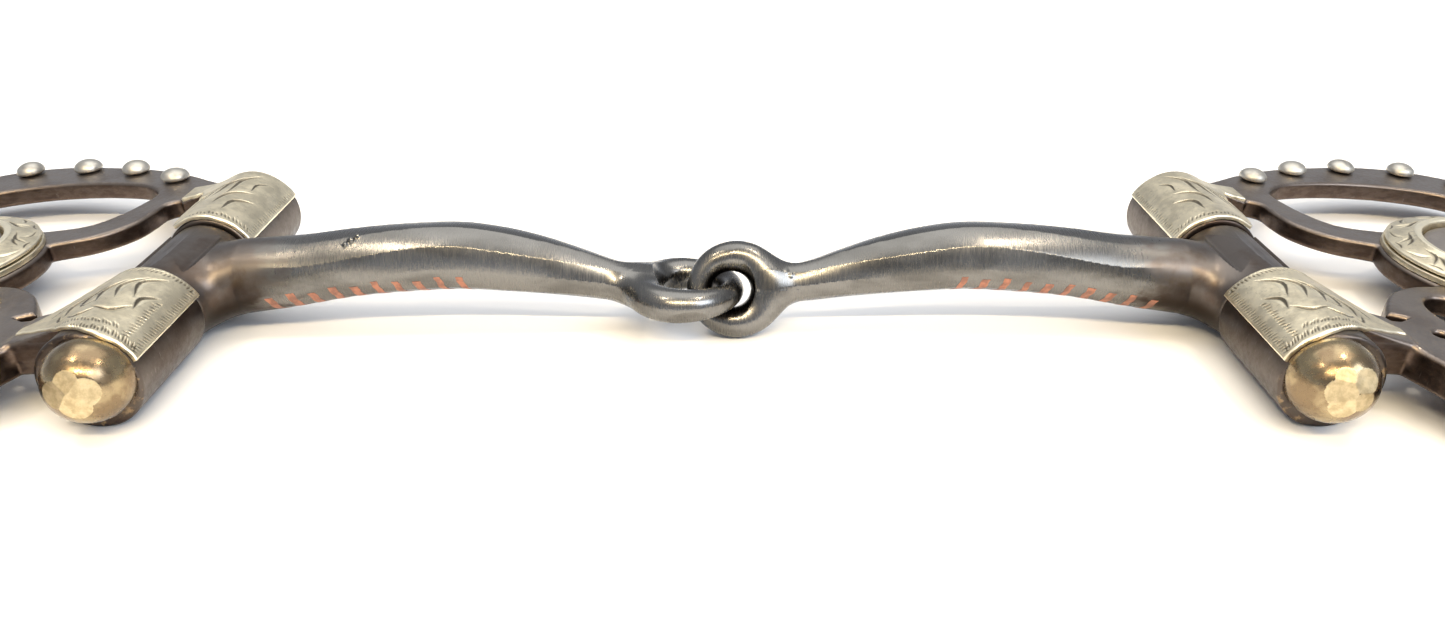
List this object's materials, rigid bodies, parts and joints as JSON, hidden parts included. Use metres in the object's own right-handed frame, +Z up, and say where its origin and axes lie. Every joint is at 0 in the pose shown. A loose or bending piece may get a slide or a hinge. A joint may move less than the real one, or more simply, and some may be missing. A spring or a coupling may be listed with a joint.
{
  "type": "curb bit",
  "caption": "Western shank bit with a jointed, copper-inlaid mouthpiece, hinged loose cheeks with headstall loops, studs, conchos and loose rein rings, laid flat with the cheeks swung outward.",
  "frame": {"origin": "middle of the footprint at table level, with the bit lying flat", "axes": "+X towards the rider's right along the mouthpiece, +Y towards the headstall loops, +Z up off the table and out of the silver faces"},
  "size_m": [0.2588, 0.1766, 0.0149],
  "materials": {
    "sweet_iron": "hand-finished sweet iron with a soft grey sheen",
    "brown_steel": "browned steel, satin",
    "german_silver": "tarnished engraved nickel silver",
    "bright_nickel": "bright polished domes",
    "brass": "tarnished brass with worn bright facets",
    "copper": "satin copper inlay"
  },
  "bodies": {
    "left_arm": {"left_cannon": "sweet_iron", "left_sleeve": "brown_steel", "left_inlay_1": "copper", "left_inlay_2": "copper", "left_inlay_3": "copper", "left_inlay_4": "copper", "left_inlay_5": "copper", "left_inlay_6": "copper", "left_inlay_7": "copper", "left_inlay_8": "copper", "left_inlay_9": "copper", "left_inlay_10": "copper"},
    "left_cheek": {"left_cheek_plate": "brown_steel", "left_hinge_tube": "brown_steel", "left_hinge_pin": "brown_steel", "left_ball_finial": "brass", "left_cuff_near": "german_silver", "left_cuff_far": "german_silver", "left_concho_back": "german_silver", "left_concho_ring": "german_silver", "left_concho_centre": "brown_steel", "left_stud_1": "bright_nickel", "left_stud_2": "bright_nickel", "left_stud_3": "bright_nickel", "left_stud_4": "bright_nickel", "left_stud_5": "bright_nickel", "left_stud_6": "bright_nickel", "left_stud_7": "bright_nickel"},
    "left_ring": {"left_rein_ring": "sweet_iron"},
    "right_arm": {"right_cannon": "sweet_iron", "right_sleeve": "brown_steel", "right_inlay_1": "copper", "right_inlay_2": "copper", "right_inlay_3": "copper", "right_inlay_4": "copper", "right_inlay_5": "copper", "right_inlay_6": "copper", "right_inlay_7": "copper", "right_inlay_8": "copper", "right_inlay_9": "copper", "right_inlay_10": "copper"},
    "right_cheek": {"right_cheek_plate": "brown_steel", "right_hinge_tube": "brown_steel", "right_hinge_pin": "brown_steel", "right_ball_finial": "brass", "right_cuff_near": "german_silver", "right_cuff_far": "german_silver", "right_concho_back": "german_silver", "right_concho_ring": "german_silver", "right_concho_centre": "brown_steel", "right_stud_1": "bright_nickel", "right_stud_2": "bright_nickel", "right_stud_3": "bright_nickel", "right_stud_4": "bright_nickel", "right_stud_5": "bright_nickel", "right_stud_6": "bright_nickel", "right_stud_7": "bright_nickel"},
    "right_ring": {"right_rein_ring": "sweet_iron"}
  },
  "joints": [
    {"name": "mouth_fold", "type": "hinge", "parent": "left_arm", "child": "right_arm", "pos_m": [0.0022, 0.04225, 0.0061], "axis": [0, 1, 0], "range_deg": [-60, 60]},
    {"name": "left_cheek_hinge", "type": "hinge", "parent": "left_arm", "child": "left_cheek", "pos_m": [-0.07, 0.04465, 0.006], "axis": [0, 1, 0], "range_deg": [-90, 90]},
    {"name": "right_cheek_hinge", "type": "hinge", "parent": "right_arm", "child": "right_cheek", "pos_m": [0.07, 0.04465, 0.006], "axis": [0, 1, 0], "range_deg": [-90, 90]},
    {"name": "left_ring_swing", "type": "hinge", "parent": "left_cheek", "child": "left_ring", "pos_m": [-0.08799, -0.05435, 0.00524], "axis": [1, 0, 0], "range_deg": [-100, 100]},
    {"name": "right_ring_swing", "type": "hinge", "parent": "right_cheek", "child": "right_ring", "pos_m": [0.08799, -0.05435, 0.00524], "axis": [1, 0, 0], "range_deg": [-100, 100]}
  ]
}
